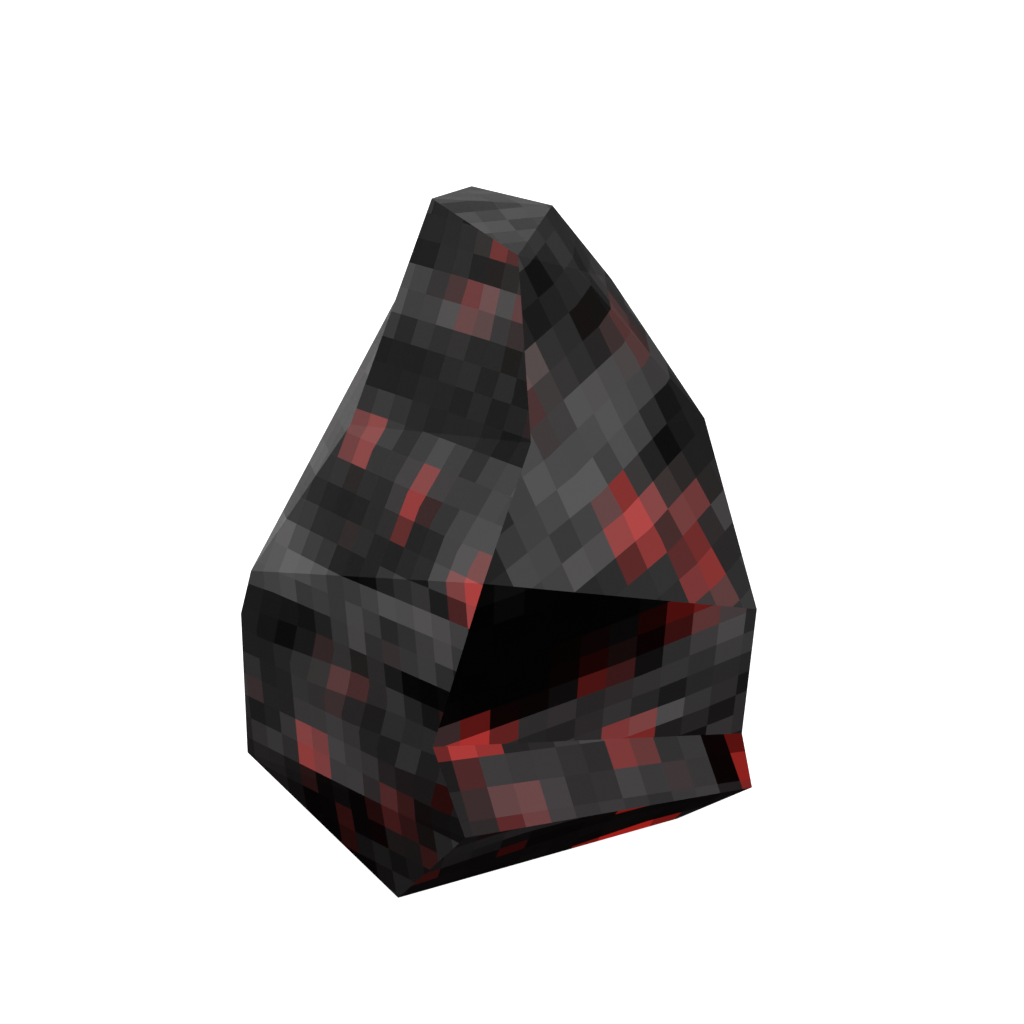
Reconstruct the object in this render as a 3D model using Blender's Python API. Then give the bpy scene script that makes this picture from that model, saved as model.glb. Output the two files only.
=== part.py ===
"""Coal lump: one solid piece of broken house coal, 120 mm tall, standing on the flat face it split along.

The lump is a closed solid of flat fracture faces. It narrows from a wide waist to a small tilted crown, and on its
front right an overhanging brow stands out over a hollow throat, above a chin that stands out again.

Frame: metres, +Z up, the front towards -Y. The origin is under the middle of the lump, on the plane of its foot.
Run with: blender --background --python part.py
"""

import bmesh
import bpy

MM = 0.001

# The lump's real size. The corners below are the places for this size, and are scaled if it is changed.
LUMP_HEIGHT = 120.0 * MM
CORNER_TABLE_HEIGHT = 120.0 * MM

COAL_COLOUR = (0.036, 0.036, 0.038, 1.0)
COAL_ROUGHNESS = 0.62
COAL_METALLIC = 0.0

# Corners of the fracture faces, in millimetres: (right, back, up).
CROWN = {
    "crown_left": (-11.6, 3.0, 120.0),
    "crown_back": (-5.0, 23.0, 117.8),
    "crown_right": (9.3, 3.0, 118.8),
    "crown_front": (3.3, -18.0, 115.1),
    "crown_cheek": (13.6, -4.0, 109.1),
}
SHOULDER = {
    "shoulder_left": (-26.0, -5.0, 81.5),
    "shoulder_front": (5.4, -33.0, 87.4),
    "shoulder_right": (36.7, 3.0, 80.1),
    "shoulder_rear_right": (20.5, 23.0, 100.6),
    "shoulder_rear_left": (-18.8, 20.0, 97.8),
}
BROW = {
    "brow_left": (-44.6, -4.0, 53.6),
    "brow_front": (-2.3, -48.0, 68.6),
    "brow_right": (45.9, -10.0, 48.6),
}
THROAT = {
    "throat_left": (-46.6, -5.0, 45.7),
    "throat_front": (-11.2, -35.0, 33.5),
    "throat_right": (45.5, 4.0, 17.7),
}
CHIN = {
    "chin_left": (-46.8, -2.0, 16.6),
    "chin_front": (-5.6, -44.0, 20.9),
    "chin_right": (46.9, -4.0, 10.4),
}
FOOT = {
    "foot_front": (-18.0, -27.0, 0.0),
    "foot_right": (33.7, 3.6, 0.0),
    "foot_back_right": (31.3, 28.0, 0.0),
    "foot_back": (-1.0, 38.0, 0.0),
    "foot_back_left": (-29.7, 27.0, 0.0),
    "foot_left": (-33.7, 3.0, 0.0),
}
BACK = {
    "nape_left": (-17.0, 31.0, 92.0),
    "nape_right": (9.0, 36.0, 87.0),
    "back_left": (-37.0, 27.0, 60.0),
    "back_ridge": (-6.0, 48.0, 68.0),
    "back_right": (34.0, 33.0, 61.0),
    "hip_left": (-27.0, 37.0, 42.0),
    "hip_right": (17.0, 40.0, 35.0),
    "heel_left": (-40.7, 27.0, 20.0),
    "heel": (-8.0, 45.0, 14.0),
    "heel_right": (41.0, 29.0, 21.0),
}

# Each fracture face is named by its corners, in order round it.
CROWN_FACES = [
    ("crown_left", "crown_back", "crown_right"),
    ("crown_left", "crown_right", "crown_front"),
    ("crown_right", "crown_cheek", "crown_front"),
]
LEFT_FACES = [
    ("crown_left", "crown_front", "shoulder_front"),
    ("crown_left", "shoulder_front", "shoulder_left"),
    ("shoulder_left", "shoulder_front", "brow_front"),
    ("shoulder_left", "brow_front", "brow_left"),
    ("brow_left", "brow_front", "throat_front"),
    ("brow_left", "throat_front", "throat_left"),
    ("throat_left", "throat_front", "chin_front"),
    ("throat_left", "chin_front", "chin_left"),
    ("chin_left", "chin_front", "foot_front"),
]
RIGHT_FACES = [
    ("crown_front", "crown_cheek", "shoulder_right"),
    ("crown_front", "shoulder_right", "shoulder_front"),
    ("shoulder_front", "shoulder_right", "brow_right"),
    ("shoulder_front", "brow_right", "brow_front"),
    ("brow_front", "brow_right", "throat_right"),
    ("brow_front", "throat_right", "throat_front"),
    ("throat_front", "throat_right", "chin_right"),
    ("throat_front", "chin_right", "chin_front"),
    ("chin_front", "chin_right", "foot_right"),
    ("chin_front", "foot_right", "foot_front"),
]
REAR_LEFT_FACES = [
    ("crown_left", "shoulder_left", "shoulder_rear_left"),
    ("shoulder_rear_left", "shoulder_left", "brow_left"),
    ("crown_left", "shoulder_rear_left", "crown_back"),
    ("shoulder_rear_left", "nape_left", "crown_back"),
    ("shoulder_rear_left", "brow_left", "back_left"),
    ("shoulder_rear_left", "back_left", "nape_left"),
    ("brow_left", "throat_left", "back_left"),
    ("throat_left", "heel_left", "back_left"),
    ("throat_left", "chin_left", "heel_left"),
    ("chin_left", "foot_front", "foot_left"),
    ("chin_left", "foot_left", "heel_left"),
    ("heel_left", "foot_left", "foot_back_left"),
]
REAR_RIGHT_FACES = [
    ("crown_right", "shoulder_rear_right", "crown_cheek"),
    ("crown_cheek", "shoulder_rear_right", "shoulder_right"),
    ("crown_right", "crown_back", "shoulder_rear_right"),
    ("crown_back", "nape_right", "shoulder_rear_right"),
    ("shoulder_rear_right", "nape_right", "back_right"),
    ("shoulder_rear_right", "back_right", "shoulder_right"),
    ("shoulder_right", "back_right", "brow_right"),
    ("back_right", "heel_right", "brow_right"),
    ("brow_right", "heel_right", "throat_right"),
    ("throat_right", "heel_right", "chin_right"),
    ("chin_right", "heel_right", "foot_back_right"),
    ("chin_right", "foot_back_right", "foot_right"),
]
BACK_FACES = [
    ("crown_back", "nape_left", "nape_right"),
    ("nape_left", "back_left", "back_ridge"),
    ("nape_left", "back_ridge", "nape_right"),
    ("nape_right", "back_ridge", "back_right"),
    ("back_left", "heel_left", "hip_left"),
    ("back_left", "hip_left", "back_ridge"),
    ("hip_left", "hip_right", "back_ridge"),
    ("back_ridge", "hip_right", "back_right"),
    ("heel_left", "heel", "hip_left"),
    ("hip_left", "heel", "hip_right"),
    ("hip_right", "heel_right", "back_right"),
    ("hip_right", "heel", "heel_right"),
    ("heel_left", "foot_back_left", "heel"),
    ("heel", "foot_back_left", "foot_back"),
    ("heel", "foot_back", "heel_right"),
    ("heel_right", "foot_back", "foot_back_right"),
]
FOOT_FACES = [tuple(FOOT)]


def clear_scene():
    for old in list(bpy.data.objects):
        bpy.data.objects.remove(old, do_unlink=True)


def coal_material():
    coal = bpy.data.materials.new("coal")
    coal.use_nodes = True
    shader = coal.node_tree.nodes["Principled BSDF"]
    shader.inputs["Base Color"].default_value = COAL_COLOUR
    shader.inputs["Roughness"].default_value = COAL_ROUGHNESS
    shader.inputs["Metallic"].default_value = COAL_METALLIC
    coal.diffuse_color = COAL_COLOUR
    coal.roughness = COAL_ROUGHNESS
    return coal


def lump_mesh():
    """The closed solid: every corner is one vertex, and every fracture face is flat."""
    scale = MM * LUMP_HEIGHT / CORNER_TABLE_HEIGHT
    shape = bmesh.new()
    corner = {}
    for ring in (CROWN, SHOULDER, BROW, THROAT, CHIN, FOOT, BACK):
        for name, (right, back, up) in ring.items():
            corner[name] = shape.verts.new((right * scale, back * scale, up * scale))
    sides = (CROWN_FACES, LEFT_FACES, RIGHT_FACES, REAR_LEFT_FACES, REAR_RIGHT_FACES, BACK_FACES, FOOT_FACES)
    for side in sides:
        for names in side:
            shape.faces.new([corner[name] for name in names])
    bmesh.ops.recalc_face_normals(shape, faces=shape.faces)
    mesh = bpy.data.meshes.new("coal_lump")
    shape.to_mesh(mesh)
    shape.free()
    mesh.shade_flat()
    return mesh


def build_coal_lump():
    lump = bpy.data.objects.new("coal_lump", lump_mesh())
    lump.data.materials.append(coal_material())
    bpy.context.scene.collection.objects.link(lump)
    return lump


def main():
    clear_scene()
    build_coal_lump()


main()
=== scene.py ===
"""The coal lump's looks: flat fracture faces in a mosaic of grey tones, with red embers, and the stage.

Laid out as a Blender add-on and run as a script. Metres, +Z up, the lump's front towards -Y.
"""

import math  # noqa: E402

import bmesh  # noqa: E402
import bpy  # noqa: E402
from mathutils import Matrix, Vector  # noqa: E402


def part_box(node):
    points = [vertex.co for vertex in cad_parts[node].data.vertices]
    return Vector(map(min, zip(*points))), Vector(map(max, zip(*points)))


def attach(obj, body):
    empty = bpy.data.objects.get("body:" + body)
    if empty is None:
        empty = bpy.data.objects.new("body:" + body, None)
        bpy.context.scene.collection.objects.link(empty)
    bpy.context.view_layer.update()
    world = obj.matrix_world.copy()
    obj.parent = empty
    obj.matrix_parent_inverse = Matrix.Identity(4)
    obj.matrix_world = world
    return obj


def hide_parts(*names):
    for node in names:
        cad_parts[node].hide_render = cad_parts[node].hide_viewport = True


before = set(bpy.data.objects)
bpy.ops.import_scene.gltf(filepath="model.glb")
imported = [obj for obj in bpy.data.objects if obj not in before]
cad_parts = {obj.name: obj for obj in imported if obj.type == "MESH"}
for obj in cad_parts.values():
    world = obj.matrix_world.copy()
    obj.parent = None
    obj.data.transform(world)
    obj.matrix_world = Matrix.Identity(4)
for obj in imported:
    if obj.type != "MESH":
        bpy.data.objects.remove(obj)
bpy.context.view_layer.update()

bl_info = {
    "name": "Coal lump",
    "version": (1, 0, 0),
    "blender": (4, 5, 0),
    "location": "3D View > Sidebar > Coal Lump",
    "description": "Dresses a faceted lump of coal with its mosaic and its embers, and builds its stage",
    "category": "Object",
}

LUMP_LOW, LUMP_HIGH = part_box("coal_lump")
LUMP_HEIGHT = LUMP_HIGH.z - LUMP_LOW.z

# The corner places are given for a lump of this height, and follow the frame if it is another.
CORNER_TABLE_HEIGHT = 0.120
CELL_MAP = "cells"

# Where the named corners of the fracture faces are, in millimetres: (right, back, up).
CORNERS = {
    "crown_left": (-11.6, 3.0, 120.0),
    "crown_back": (-5.0, 23.0, 117.8),
    "crown_right": (9.3, 3.0, 118.8),
    "crown_front": (3.3, -18.0, 115.1),
    "crown_cheek": (13.6, -4.0, 109.1),
    "shoulder_left": (-26.0, -5.0, 81.5),
    "shoulder_front": (5.4, -33.0, 87.4),
    "shoulder_right": (36.7, 3.0, 80.1),
    "shoulder_rear_right": (20.5, 23.0, 100.6),
    "shoulder_rear_left": (-18.8, 20.0, 97.8),
    "brow_left": (-44.6, -4.0, 53.6),
    "brow_front": (-2.3, -48.0, 68.6),
    "brow_right": (45.9, -10.0, 48.6),
    "throat_left": (-46.6, -5.0, 45.7),
    "throat_front": (-11.2, -35.0, 33.5),
    "throat_right": (45.5, 4.0, 17.7),
    "chin_left": (-46.8, -2.0, 16.6),
    "chin_front": (-5.6, -44.0, 20.9),
    "chin_right": (46.9, -4.0, 10.4),
    "foot_front": (-18.0, -27.0, 0.0),
    "foot_right": (33.7, 3.6, 0.0),
}

# The mosaic lies on the lump in flat sheets of square cells. A sheet is (turn from the front towards the
# right, rise, lean of its rows, width of its cells), in degrees and for the width against the cell size. A
# face takes the sheet that faces its own way most nearly.
SHEETS = {
    "left": (-50, 10, 0, 1.0),
    "cheek": (50, 15, 15, 1.25),
    "hollow": (15, -25, 5, 1.25),
    "ledge": (25, 40, 0, 1.25),
    "crown": (0, 90, 20, 1.0),
    "back": (180, 15, 5, 1.0),
    "rear_right": (110, 0, -10, 1.0),
    "rear_left": (-110, 0, 10, 1.0),
    "foot": (0, -90, 0, 1.0),
}
FIRST_REAR_SHEET = "back"
# How far apart the sheets start in the noise, in cells.
SHEET_SPACING = 100.0
# How far a corner of the mesh may be from its place in CORNERS, in millimetres.
CORNER_TOLERANCE = 1.0

# The broad faces, each bent a little along the lines between its corners. Each takes the light as one flat
# face.
BROAD_FACES = [
    ("crown_left", "crown_front", "shoulder_front", "shoulder_left"),
    ("shoulder_left", "shoulder_front", "brow_front", "brow_left"),
    ("brow_left", "brow_front", "throat_front", "chin_front", "chin_left", "throat_left"),
    ("crown_front", "crown_cheek", "shoulder_right", "shoulder_front"),
    ("shoulder_front", "shoulder_right", "brow_right", "brow_front"),
    ("brow_front", "brow_right", "throat_right", "chin_right", "chin_front", "throat_front"),
    ("chin_front", "chin_right", "foot_right", "foot_front"),
]

# The heat of an ember, from the faintest to the brightest.
FAINT = 0.2
WARM = 0.4
HOT = 0.8
BRIGHT = 1.2

# Embers: (sheet, from this corner, to this corner, share of the way, reach across, reach down, heat).
# A reach is in cells.
EMBERS = [
    ("left", "shoulder_left", "brow_front", 0.1, 1.0, 1.5, HOT),
    ("left", "shoulder_left", "brow_front", 0.5, 1.0, 1.5, HOT),
    ("left", "brow_front", "throat_front", 0.1, 1.5, 1.5, BRIGHT),
    ("left", "chin_left", "throat_front", 0.4, 1.0, 1.5, HOT),
    ("left", "crown_left", "shoulder_front", 0.45, 1.5, 1.0, WARM),
    ("left", "crown_left", "crown_front", 0.85, 1.0, 1.0, WARM),
    ("left", "crown_front", "shoulder_front", 0.3, 1.0, 1.0, FAINT),
    ("left", "brow_left", "chin_front", 0.45, 1.0, 1.0, FAINT),
    ("left", "chin_left", "chin_front", 0.7, 1.0, 1.0, FAINT),
    ("cheek", "shoulder_front", "brow_right", 0.45, 1.5, 1.5, BRIGHT),
    ("cheek", "crown_front", "brow_right", 0.7, 1.5, 1.0, WARM),
    ("cheek", "shoulder_front", "brow_right", 0.75, 1.0, 1.5, HOT),
    ("cheek", "crown_front", "shoulder_front", 0.7, 1.0, 1.0, FAINT),
    ("cheek", "crown_cheek", "shoulder_right", 0.4, 1.5, 1.0, FAINT),
    ("hollow", "brow_front", "brow_right", 0.8, 1.5, 1.0, WARM),
    ("hollow", "throat_front", "brow_right", 0.5, 1.0, 1.0, FAINT),
    ("hollow", "throat_front", "throat_right", 0.1, 1.5, 1.0, BRIGHT),
    ("ledge", "throat_front", "throat_right", 0.1, 1.5, 1.0, BRIGHT),
    ("hollow", "throat_front", "throat_right", 0.6, 1.5, 1.0, HOT),
    ("ledge", "throat_front", "throat_right", 0.6, 1.0, 1.0, HOT),
    ("ledge", "chin_front", "throat_right", 0.2, 1.5, 1.0, WARM),
    ("ledge", "throat_right", "chin_right", 0.7, 1.0, 1.5, HOT),
    ("hollow", "foot_front", "foot_right", 0.8, 2.0, 1.0, BRIGHT),
]

# The tone of a broad stretch of cells, against the lump's middle tone; two dark stretches on faces that
# look down are painted shade.
BLACK = -0.8
DARK = -0.5
DULL = -0.3
PALE = 0.3
LIGHT = 0.6

# Stretches of tone and of painted shade: (sheet, from this corner, to this corner, share of the way, reach
# across, reach down, tone).
TONE_AND_SHADE_STRETCHES = [
    ("left", "crown_left", "shoulder_front", 0.2, 5.0, 2.0, DULL),
    ("left", "crown_left", "brow_front", 0.3, 5.0, 2.0, PALE),
    ("left", "crown_left", "brow_front", 0.5, 7.0, 2.5, DULL),
    ("left", "shoulder_left", "throat_front", 0.3, 6.0, 2.0, DARK),
    ("left", "brow_left", "shoulder_front", 0.15, 4.0, 2.0, LIGHT),
    ("left", "brow_front", "shoulder_front", 0.2, 3.0, 3.0, PALE),
    ("left", "brow_front", "chin_left", 0.3, 5.0, 2.0, LIGHT),
    ("left", "throat_left", "brow_front", 0.15, 3.0, 2.0, DULL),
    ("left", "throat_front", "brow_front", 0.4, 5.0, 2.0, DARK),
    ("left", "chin_left", "throat_front", 0.5, 3.0, 2.0, PALE),
    ("left", "chin_left", "chin_front", 0.8, 3.0, 2.0, DULL),
    # Painted shade: the face at the lower left that looks down, darkened as if in shadow.
    ("left", "chin_left", "foot_front", 0.5, 6.0, 3.0, DARK),
    ("rear_left", "crown_left", "shoulder_left", 0.8, 3.0, 5.0, PALE),
    ("cheek", "crown_front", "shoulder_right", 0.3, 3.0, 2.0, DULL),
    ("cheek", "crown_front", "brow_right", 0.4, 3.0, 2.0, PALE),
    ("cheek", "shoulder_right", "brow_front", 0.1, 3.0, 2.0, DARK),
    ("cheek", "shoulder_front", "shoulder_right", 0.15, 3.0, 3.0, PALE),
    ("cheek", "brow_front", "shoulder_right", 0.3, 3.0, 2.0, PALE),
    ("hollow", "brow_front", "throat_right", 0.3, 6.0, 4.0, BLACK),
    ("hollow", "brow_right", "throat_front", 0.25, 3.0, 2.0, PALE),
    ("hollow", "throat_front", "throat_right", 0.5, 6.0, 1.0, PALE),
    ("ledge", "throat_front", "chin_right", 0.5, 6.0, 3.0, PALE),
    ("ledge", "throat_right", "chin_right", 0.2, 2.0, 2.0, BLACK),
    # Painted shade: the underside above the foot, darkened as if in shadow.
    ("hollow", "foot_front", "chin_right", 0.5, 7.0, 3.0, DARK),
]

# The share of a stretch's reach over which it fades out, and the level of a cell outside every ember.
STRETCH_EDGE = 0.5
NO_EMBER = -9.0

# How much each kind of noise moves a cell's tone, and the tones it moves from and stops at.
MIDDLE_TONE = 0.75
DARKEST_TONE = 0.05
STREAK_CONTRAST = 1.3
SPECK_CONTRAST = 0.25
REAR_CONTRAST = 2.4

# Cells near the foot are a little rosier than cells near the crown.
CROWN_TINT = (0.995, 1.0, 0.985, 1.0)
FOOT_TINT = (1.065, 1.0, 1.05, 1.0)
TINT_HEIGHT = 0.09

# The embers of the back, where they come from noise above this level, and the burnt share at full heat.
REAR_EMBER_LEVEL = 0.69
REAR_EMBER_GAIN = 8.0
BURNT_SHARE = 0.28

# The glow around an ember, and the share of single cells elsewhere that glow a little.
HALO = 0.018
QUIET_SHARE = 0.96
SPARK_GAIN = 1.4
# A faint red glow painted towards the foot, where there is no ember.
FOOT_GLOW = 0.002

FRACTURE_SHINE = 0.1
GRIT_STRENGTH = 0.6


class CoalFinish(bpy.types.PropertyGroup):
    """The lump's own finish: its tones, its embers and its grain."""

    cell_size: bpy.props.FloatProperty(
        name="Cell Size",
        description="Width of a cell of the mosaic",
        default=0.0044,
        unit="LENGTH",
    )
    slate: bpy.props.FloatVectorProperty(
        name="Slate",
        description="Colour of a light grey cell",
        default=(0.115, 0.114, 0.115),
        subtype="COLOR",
        size=3,
    )
    rose: bpy.props.FloatVectorProperty(
        name="Rose",
        description="Colour of the burnt face of an ember's cells",
        default=(0.22, 0.17, 0.165),
        subtype="COLOR",
        size=3,
    )
    glow: bpy.props.FloatVectorProperty(
        name="Glow",
        description="Colour of the light that embers give",
        default=(1.0, 0.022, 0.012),
        subtype="COLOR",
        size=3,
    )
    glow_strength: bpy.props.FloatProperty(
        name="Glow Strength",
        description="Brightness of the hottest ember",
        default=0.3,
        min=0.0,
    )
    roughness: bpy.props.FloatProperty(
        name="Roughness",
        description="Roughness of the fracture faces",
        default=0.5,
        subtype="FACTOR",
        min=0.0,
        max=1.0,
    )
    grain_size: bpy.props.FloatProperty(
        name="Grain Size",
        description="Size of the grit on the fracture faces",
        default=0.0006,
        unit="LENGTH",
    )
    grain_depth: bpy.props.FloatProperty(
        name="Grain Depth",
        description="Depth of the grit on the fracture faces",
        default=0.00003,
        unit="LENGTH",
    )


class CoalStage(bpy.types.PropertyGroup):
    """The floor, the lights and the camera."""

    floor_width: bpy.props.FloatProperty(
        name="Floor Width",
        description="Width of the floor",
        default=8.0,
        unit="LENGTH",
    )
    floor_colour: bpy.props.FloatVectorProperty(
        name="Floor Colour",
        description="Colour of the floor",
        default=(0.86, 0.86, 0.86),
        subtype="COLOR",
        size=3,
    )
    camera_rise: bpy.props.FloatProperty(
        name="Camera Rise",
        description="Angle by which the camera looks down",
        default=math.radians(20.0),
        subtype="ANGLE",
    )
    camera_reach: bpy.props.FloatProperty(
        name="Camera Reach",
        description="Distance from the camera to its aim",
        default=0.43254,
        unit="LENGTH",
    )
    camera_aim: bpy.props.FloatVectorProperty(
        name="Camera Aim",
        description="Point that the camera looks at",
        default=(0.0023, -0.0020, 0.0641),
        subtype="TRANSLATION",
        size=3,
    )
    lens: bpy.props.FloatProperty(
        name="Lens",
        description="Focal length of the camera, in millimetres",
        default=85.0,
    )
    sky: bpy.props.FloatProperty(
        name="Sky",
        description="Strength of the even light from the upper half of the room",
        default=0.25,
        min=0.0,
    )
    ground_light: bpy.props.FloatProperty(
        name="Ground Light",
        description="Strength of the even light from the lower half of the room",
        default=0.02,
        min=0.0,
    )
    floor_glow: bpy.props.FloatProperty(
        name="Floor Glow",
        description="Light that the floor itself gives",
        default=1.0,
        min=0.0,
    )
    back_light: bpy.props.FloatProperty(
        name="Back Light",
        description="Power of the high light behind, in watts",
        default=2.0,
        min=0.0,
    )
    rim_light: bpy.props.FloatProperty(
        name="Rim Light",
        description="Power of the low light behind on the left, in watts",
        default=4.5,
        min=0.0,
    )
    side_light: bpy.props.FloatProperty(
        name="Side Light",
        description="Power of the low light on the left, in watts",
        default=1.5,
        min=0.0,
    )
    front_light: bpy.props.FloatProperty(
        name="Front Light",
        description="Power of the high light in front, in watts",
        default=4.0,
        min=0.0,
    )
    fill_light: bpy.props.FloatProperty(
        name="Fill Light",
        description="Power of the low light on the right, in watts",
        default=0.5,
        min=0.0,
    )


class Wire:
    """A shader value. Arithmetic on it adds Math nodes."""

    def __init__(self, sheet, socket):
        self.sheet = sheet
        self.socket = socket

    def math(self, operation, *others):
        return self.sheet.add("ShaderNodeMath", {"operation": operation}, [self, *others])

    def __add__(self, other):
        return self.math("ADD", other)

    def __sub__(self, other):
        return self.math("SUBTRACT", other)

    def __mul__(self, other):
        return self.math("MULTIPLY", other)

    def __truediv__(self, other):
        return self.math("DIVIDE", other)

    def __pow__(self, other):
        return self.math("POWER", other)

    def __radd__(self, other):
        return self + other

    def __rmul__(self, other):
        return self * other

    def __rsub__(self, other):
        return self.sheet.add("ShaderNodeMath", {"operation": "SUBTRACT"}, [other, self])

    def above(self, other):
        return self.math("MAXIMUM", other)

    def below(self, other):
        return self.math("MINIMUM", other)


class ShaderSheet:
    """A node tree, built from Python expressions."""

    def __init__(self, tree):
        self.tree = tree

    def add(self, kind, settings=None, inputs=None, output=0):
        """A node of this kind, with its settings made first, then its sockets' values or links."""
        node = self.tree.nodes.new(kind)
        for name, value in (settings or {}).items():
            setattr(node, name, value)
        self.feed(node, inputs or [])
        return Wire(self, node.outputs[output])

    def feed(self, node, inputs):
        pairs = inputs.items() if isinstance(inputs, dict) else enumerate(inputs)
        for key, value in pairs:
            if isinstance(value, Wire):
                self.tree.links.new(value.socket, node.inputs[key])
            else:
                node.inputs[key].default_value = value


def new_material(name):
    """A material, the sheet of its nodes, and its shader."""
    material = bpy.data.materials.new(name)
    material.use_nodes = True
    tree = material.node_tree
    return material, ShaderSheet(tree), tree.nodes["Principled BSDF"]


def solid_colour(rgb):
    return (*rgb, 1.0)


def lump_scale():
    """What turns a length in CORNERS into metres on this lump."""
    return 0.001 * LUMP_HEIGHT / CORNER_TABLE_HEIGHT


def sheet_start(name):
    """Where a sheet starts in the noise, so that no two sheets share a pattern."""
    return SHEET_SPACING * (list(SHEETS).index(name) + 1)


def sheet_ways(name):
    """The directions in which a sheet faces, runs across and runs down."""
    turn, rise, lean = (math.radians(angle) for angle in SHEETS[name][:3])
    facing = Vector((math.sin(turn) * math.cos(rise), -math.cos(turn) * math.cos(rise), math.sin(rise)))
    level = Vector((math.cos(turn), math.sin(turn), 0.0))
    upright = facing.cross(level)
    across = level * math.cos(lean) + upright * math.sin(lean)
    down = level * math.sin(lean) - upright * math.cos(lean)
    return facing, across, down


def cell_at(name, place, cell_size):
    """The cell coordinates of a place on a sheet."""
    _, across, down = sheet_ways(name)
    width = cell_size * SHEETS[name][3]
    return place.dot(across) / width + sheet_start(name), place.dot(down) / width


def patch_level(sheet, cell, cell_size, patch, slope, clamp):
    """A patch's level at its middle, falling to 0 at its reach over this share of the way."""
    name, first, last, share, reach_across, reach_down, level = patch
    place = Vector(CORNERS[first]).lerp(Vector(CORNERS[last]), share) * lump_scale()
    across, down = cell_at(name, place, cell_size)
    shrink = (1.0 / reach_across, 1.0 / reach_down, 0.0)
    shift = (-shrink[0] * across, -shrink[1] * down, 0.0)
    away = sheet.add("ShaderNodeVectorMath", {"operation": "MULTIPLY_ADD"}, [cell, shrink, shift])
    far = sheet.add("ShaderNodeVectorMath", {"operation": "DOT_PRODUCT"}, [away, away], output="Value")
    return sheet.add(
        "ShaderNodeMapRange",
        {"clamp": clamp},
        {"Value": far, "From Min": 1.0, "From Max": 1.0 - slope, "To Min": 0.0, "To Max": level},
    )


def ember_nearness(sheet, cell, cell_size):
    """How hot a cell is, from the ember that heats it most; below 0 outside every ember."""
    heat = NO_EMBER
    for ember in EMBERS:
        heat = patch_level(sheet, cell, cell_size, ember, 1.0, False).above(heat)
    return heat


def stretch_tone_and_shade(sheet, cell, cell_size):
    """What the broad light and dark stretches add to a cell's tone, each flat in its middle; two of the
    dark ones are painted shade on faces that look down.
    """
    tone = 0.0
    for stretch in TONE_AND_SHADE_STRETCHES:
        tone = patch_level(sheet, cell, cell_size, stretch, STRETCH_EDGE, True) + tone
    return tone


def slow_noise(sheet, cell, across, down):
    """Noise from 0 to 1 that changes over about this many cells."""
    place = sheet.add(
        "ShaderNodeVectorMath",
        {"operation": "MULTIPLY"},
        [cell, (1.0 / across, 1.0 / down, 0.0)],
    )
    return sheet.add(
        "ShaderNodeTexNoise",
        {"noise_dimensions": "2D"},
        {"Vector": place, "Scale": 1.0, "Detail": 1.0, "Roughness": 0.5},
    )


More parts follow.
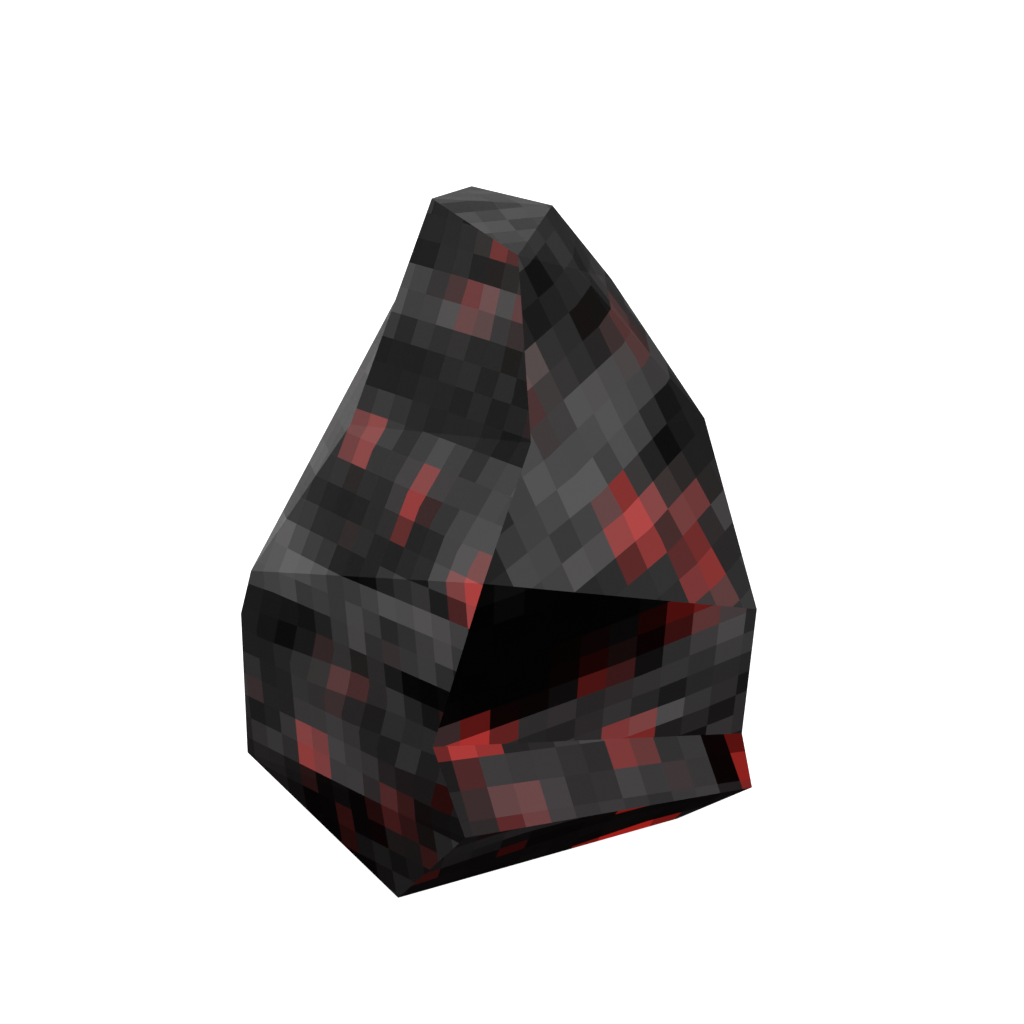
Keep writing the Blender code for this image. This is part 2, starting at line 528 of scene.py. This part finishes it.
def coal_material(finish):
    material, sheet, shader = new_material("coal_mosaic")
    place = sheet.add("ShaderNodeUVMap", {"uv_map": CELL_MAP})
    corner = sheet.add("ShaderNodeVectorMath", {"operation": "FLOOR"}, [place])
    middle = sheet.add("ShaderNodeVectorMath", {"operation": "ADD"}, [corner, (0.5, 0.5, 0.0)])

    speck = sheet.add("ShaderNodeTexWhiteNoise", {"noise_dimensions": "2D"}, {"Vector": middle})
    streak = slow_noise(sheet, middle, 1.0 / 0.33, 1.0 / 0.62)
    rear = sheet.add("ShaderNodeSeparateXYZ", {}, [middle], output="X")
    rear = rear.math("GREATER_THAN", sheet_start(FIRST_REAR_SHEET) - SHEET_SPACING / 2)
    broad = slow_noise(sheet, middle, 9.0, 3.6)
    tone = MIDDLE_TONE + (streak - 0.5) * STREAK_CONTRAST + (speck - 0.5) * SPECK_CONTRAST
    # The broad stretches of tone, two of them painted shade on faces that look down.
    tone = tone + stretch_tone_and_shade(sheet, middle, finish.cell_size)
    tone = tone + (broad - 0.5) * REAR_CONTRAST * rear
    tone = tone.above(DARKEST_TONE) ** 2.0

    drift = slow_noise(sheet, middle, 5.9, 4.8)
    spot = sheet.add("ShaderNodeTexCoord", output="Object")
    high = sheet.add("ShaderNodeSeparateXYZ", {}, [spot], output="Z")
    low = (1.0 - high / TINT_HEIGHT).above(0.0)
    tint = sheet.add(
        "ShaderNodeMix",
        {"data_type": "RGBA"},
        {
            "Factor": low * 0.9 + (drift - 0.5) * 1.5,
            "A": CROWN_TINT,
            "B": FOOT_TINT,
        },
        output="Result",
    )
    slate = sheet.add(
        "ShaderNodeVectorMath",
        {"operation": "MULTIPLY"},
        [tint, finish.slate],
    )
    slate = sheet.add("ShaderNodeVectorMath", {"operation": "SCALE"}, {0: slate, "Scale": tone})

    kindle = slow_noise(sheet, middle, 4.0, 3.6)
    near = ember_nearness(sheet, middle, finish.cell_size)
    near = near.above((kindle - REAR_EMBER_LEVEL) * REAR_EMBER_GAIN + (1.0 - rear) * NO_EMBER)
    heat = near.above(0.0)
    burnt = sheet.add(
        "ShaderNodeMix",
        {"data_type": "RGBA"},
        {"Factor": heat * BURNT_SHARE, "A": slate, "B": solid_colour(finish.rose)},
        output="Result",
    )
    faint_glow = (near + 1.0).above(0.0) * HALO
    chance = sheet.add("ShaderNodeTexWhiteNoise", {"noise_dimensions": "2D"}, {"Vector": corner})
    faint_glow = faint_glow + (chance - QUIET_SHARE).above(0.0) * (low + 0.5) * SPARK_GAIN
    # The light that the cells give: the embers' glow, a faint glow around them and in scattered cells, and
    # a faint painted glow towards the foot.
    light = sheet.add(
        "ShaderNodeVectorMath",
        {"operation": "SCALE"},
        {0: finish.glow, "Scale": heat + faint_glow * chance + low * FOOT_GLOW},
    )

    grit = sheet.add(
        "ShaderNodeTexNoise",
        {},
        {"Vector": spot, "Scale": 1.0 / finish.grain_size, "Detail": 3.0},
    )
    bump = sheet.add(
        "ShaderNodeBump",
        {},
        {"Strength": GRIT_STRENGTH, "Distance": finish.grain_depth, "Height": grit},
        output="Normal",
    )
    rough = finish.roughness + (grit - 0.5) * 0.2 + (speck - 0.5) * 0.1
    sheet.feed(
        shader,
        {
            "Base Color": burnt,
            "Roughness": rough,
            "Specular IOR Level": FRACTURE_SHINE,
            "Emission Color": light,
            "Emission Strength": finish.glow_strength,
            "Normal": bump,
        },
    )
    return material


def corner_names(mesh):
    """The name of the nearest corner, for each vertex that has one."""
    scale = lump_scale()
    names = {}
    for name, place in CORNERS.items():
        nearest = min(mesh.verts, key=lambda v: (v.co - Vector(place) * scale).length)
        if (nearest.co - Vector(place) * scale).length > CORNER_TOLERANCE * scale:
            raise RuntimeError(f"the lump has no corner at {name}")
        names[nearest] = name
    return names


def lay_cells(mesh, cell_size):
    """Writes each face corner's cell coordinates to the cell map."""
    cells = mesh.loops.layers.uv.new(CELL_MAP)
    for face in mesh.faces:
        name = max(SHEETS, key=lambda sheet: sheet_ways(sheet)[0].dot(face.normal))
        for loop in face.loops:
            loop[cells].uv = cell_at(name, loop.vert.co, cell_size)


def light_normals(mesh, names):
    """The normal with which each face takes the light: its own, or its broad face's."""
    normals = {face: face.normal.copy() for face in mesh.faces}
    for corners in BROAD_FACES:
        faces = [face for face in mesh.faces if all(names.get(corner) in corners for corner in face.verts)]
        mean = sum((face.normal * face.calc_area() for face in faces), Vector()).normalized()
        normals.update({face: mean for face in faces})
    return normals


def lump_surface(finish):
    """The lump's own faces, from the solid in the frame, with the mosaic laid on them."""
    mesh = bmesh.new()
    mesh.from_mesh(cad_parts["coal_lump"].data)
    bmesh.ops.remove_doubles(mesh, verts=mesh.verts, dist=0.00001)
    for layer in list(mesh.loops.layers.uv):
        mesh.loops.layers.uv.remove(layer)
    mesh.normal_update()
    names = corner_names(mesh)
    normals = light_normals(mesh, names)
    lay_cells(mesh, finish.cell_size)
    corner_normals = [normals[face].to_tuple() for face in mesh.faces for _ in face.loops]
    data = bpy.data.meshes.new("coal_lump_surface")
    mesh.to_mesh(data)
    mesh.free()
    data.shade_smooth()
    data.normals_split_custom_set(corner_normals)
    data.materials.append(coal_material(finish))
    surface = bpy.data.objects.new("coal_lump_surface", data)
    bpy.context.scene.collection.objects.link(surface)
    return surface


class COAL_OT_dress_lump(bpy.types.Operator):
    """Lay the mosaic of tones and the embers on the lump's fracture faces"""

    bl_idname = "coal.dress_lump"
    bl_label = "Dress Lump"

    def execute(self, context):
        surface = lump_surface(context.scene.coal_finish)
        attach(surface, "root")
        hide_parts("coal_lump")
        return {"FINISHED"}


def floor_material(stage):
    material, sheet, shader = new_material("floor_paint")
    spot = sheet.add("ShaderNodeTexCoord", output="Object")
    cloud = sheet.add("ShaderNodeTexNoise", {}, {"Vector": spot, "Scale": 3.0, "Detail": 2.0})
    sheet.feed(
        shader,
        {
            "Base Color": solid_colour(stage.floor_colour),
            "Roughness": 0.9 + (cloud - 0.5) * 0.1,
            "Emission Color": (1.0, 1.0, 1.0, 1.0),
            "Emission Strength": stage.floor_glow,
        },
    )
    return material


def floor(stage):
    """A pale floor, which the lump's faces neither catch light from nor mirror."""
    half = stage.floor_width / 2
    data = bpy.data.meshes.new("floor")
    corners = [(-half, -half, 0.0), (half, -half, 0.0), (half, half, 0.0), (-half, half, 0.0)]
    data.from_pydata(corners, [], [(0, 1, 2, 3)])
    data.materials.append(floor_material(stage))
    plane = bpy.data.objects.new("floor", data)
    plane.location.z = LUMP_LOW.z - 0.0001
    plane.visible_diffuse = False
    plane.visible_glossy = False
    bpy.context.scene.collection.objects.link(plane)


def aim(thing, target):
    thing.rotation_euler = (Vector(target) - thing.location).to_track_quat("-Z", "Y").to_euler()


def away_from(target, azimuth, rise, reach):
    """The point at this reach from the target; azimuth 0 is the front and 90 the right, in degrees."""
    turn = math.radians(azimuth)
    tilt = math.radians(rise)
    way = Vector((math.sin(turn) * math.cos(tilt), -math.cos(turn) * math.cos(tilt), math.sin(tilt)))
    return Vector(target) + way * reach


def area_light(name, azimuth, rise, power, width=1.0, reach=1.2):
    lamp = bpy.data.lights.new(name, "AREA")
    lamp.shape = "DISK"
    lamp.size = width
    lamp.energy = power
    light = bpy.data.objects.new(name, lamp)
    middle = (0.0, 0.0, LUMP_HEIGHT / 2)
    light.location = away_from(middle, azimuth, rise, reach)
    aim(light, middle)
    light.visible_camera = False
    bpy.context.scene.collection.objects.link(light)


def room(stage):
    """Even light, stronger from the upper half of the room, in front of a white surround."""
    world = bpy.data.worlds.new("studio")
    world.use_nodes = True
    sheet = ShaderSheet(world.node_tree)
    way = sheet.add("ShaderNodeTexCoord", output="Generated")
    up = sheet.add("ShaderNodeSeparateXYZ", {}, [way], output="Z")
    share = (up * 5.0 + 0.5).above(0.0).below(1.0)
    light = share * (stage.sky - stage.ground_light) + stage.ground_light
    seen = sheet.add("ShaderNodeLightPath", output="Is Camera Ray")
    sheet.feed(
        world.node_tree.nodes["Background"],
        {"Color": (1.0, 1.0, 1.0, 1.0), "Strength": light.above(seen)},
    )
    bpy.context.scene.world = world


def camera(stage):
    data = bpy.data.cameras.new("camera")
    data.lens = stage.lens
    data.sensor_width = 36.0
    data.clip_start = 0.01
    eye = bpy.data.objects.new("camera", data)
    target = Vector(stage.camera_aim)
    eye.location = away_from(target, 0.0, math.degrees(stage.camera_rise), stage.camera_reach)
    aim(eye, target)
    bpy.context.scene.collection.objects.link(eye)
    bpy.context.scene.camera = eye


class COAL_OT_build_stage(bpy.types.Operator):
    """Build the floor, the lights and the camera"""

    bl_idname = "coal.build_stage"
    bl_label = "Build Stage"

    def execute(self, context):
        stage = context.scene.coal_stage
        floor(stage)
        room(stage)
        area_light("back_light", 180, 35, stage.back_light)
        area_light("rim_light", 225, 12, stage.rim_light)
        area_light("side_light", 270, 12, stage.side_light)
        area_light("front_light", 15, 45, stage.front_light)
        area_light("fill_light", 90, 12, stage.fill_light)
        camera(stage)
        context.scene.view_settings.view_transform = "Standard"
        return {"FINISHED"}


class COAL_PT_panel(bpy.types.Panel):
    """The coal lump's pieces and finish"""

    bl_label = "Coal Lump"
    bl_idname = "COAL_PT_panel"
    bl_space_type = "VIEW_3D"
    bl_region_type = "UI"
    bl_category = "Coal Lump"

    def draw(self, context):
        layout = self.layout
        for title, settings, operator in (
            ("Lump", context.scene.coal_finish, COAL_OT_dress_lump),
            ("Stage", context.scene.coal_stage, COAL_OT_build_stage),
        ):
            box = layout.box()
            box.label(text=title)
            for name in settings.__annotations__:
                box.prop(settings, name)
            box.operator(operator.bl_idname)


CLASSES = (CoalFinish, CoalStage, COAL_OT_dress_lump, COAL_OT_build_stage, COAL_PT_panel)


def register():
    for cls in CLASSES:
        bpy.utils.register_class(cls)
    bpy.types.Scene.coal_finish = bpy.props.PointerProperty(type=CoalFinish)
    bpy.types.Scene.coal_stage = bpy.props.PointerProperty(type=CoalStage)


def unregister():
    del bpy.types.Scene.coal_stage
    del bpy.types.Scene.coal_finish
    for cls in reversed(CLASSES):
        bpy.utils.unregister_class(cls)


def main():
    register()
    bpy.ops.coal.dress_lump()
    bpy.ops.coal.build_stage()


if __name__ == "__main__":
    main()
